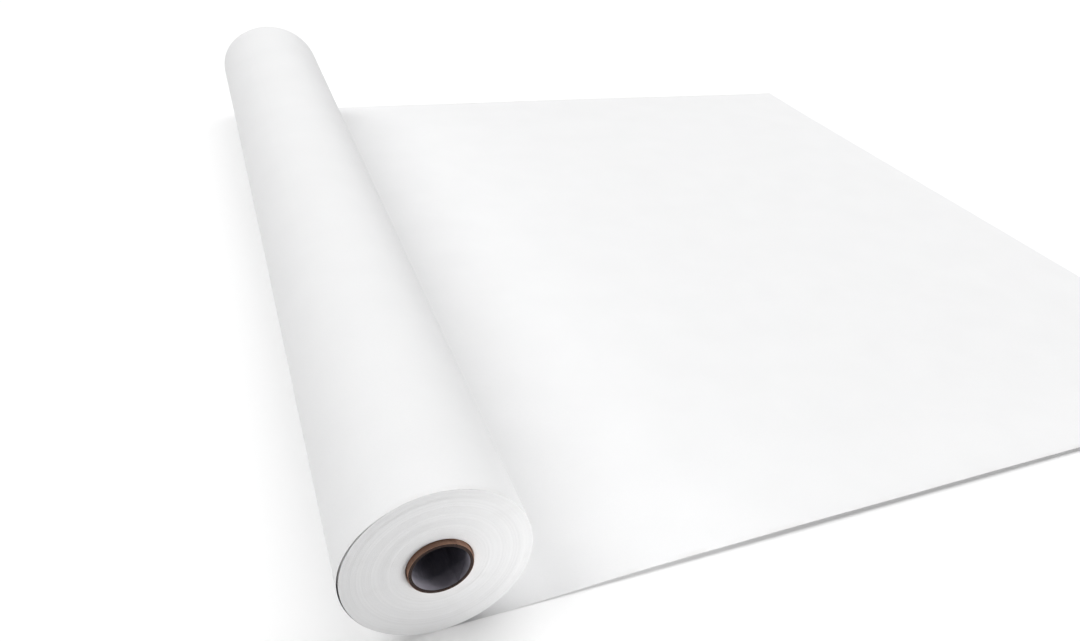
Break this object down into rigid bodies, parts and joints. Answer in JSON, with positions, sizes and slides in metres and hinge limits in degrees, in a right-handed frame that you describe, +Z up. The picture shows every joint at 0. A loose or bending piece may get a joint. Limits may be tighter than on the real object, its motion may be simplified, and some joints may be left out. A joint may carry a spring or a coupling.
{
  "type": "backdrop paper roll",
  "caption": "Bulk roll of white seamless backdrop paper on a spiral-wound board core, lying on the floor with its first stretch unrolled flat.",
  "frame": {"origin": "centre of the core's bore, on the roll's axis at mid-length", "axes": "+Y along the roll's axis, away from the near end; +Z up; +X the way the unrolled paper lies, away from the roll"},
  "size_m": [1.3269, 1.382, 0.166],
  "materials": {
    "web_paper": "matt, uncoated",
    "wound_paper": "matt, cut edges of the laps at its ends",
    "liner_board": "grey recycled board",
    "core_board": "brown recycled board",
    "kraft_face": "machine-finished kraft",
    "starter_tape": "masking tape"
  },
  "bodies": {
    "laid_web": {"paper_laid": "web_paper"},
    "travelling_lap": {"paper_slack_lap": "web_paper"},
    "roll": {"core_liner_ply": "liner_board", "core_body_ply_1": "core_board", "core_body_ply_2": "core_board", "core_body_ply_3": "core_board", "core_body_ply_4": "core_board", "core_body_ply_5": "core_board", "core_body_ply_6": "core_board", "core_face_ply": "kraft_face", "starter_tapes": "starter_tape", "paper_pack": "wound_paper"}
  },
  "joints": [
    {"name": "roll_travel", "type": "slide", "parent": "laid_web", "child": "travelling_lap", "axis": [-1, 0, 0], "range_m": [-0.45, 0.9], "deforming": ["paper_laid"]},
    {"name": "roll_turn", "type": "hinge", "parent": "travelling_lap", "child": "roll", "pos_m": [0, 0, 0], "axis": [0, -1, 0], "range_deg": [-311, 621]}
  ],
  "couplings": [
    {"joint": "roll_turn", "follows": "roll_travel", "rad_per_m": 12.03}
  ]
}
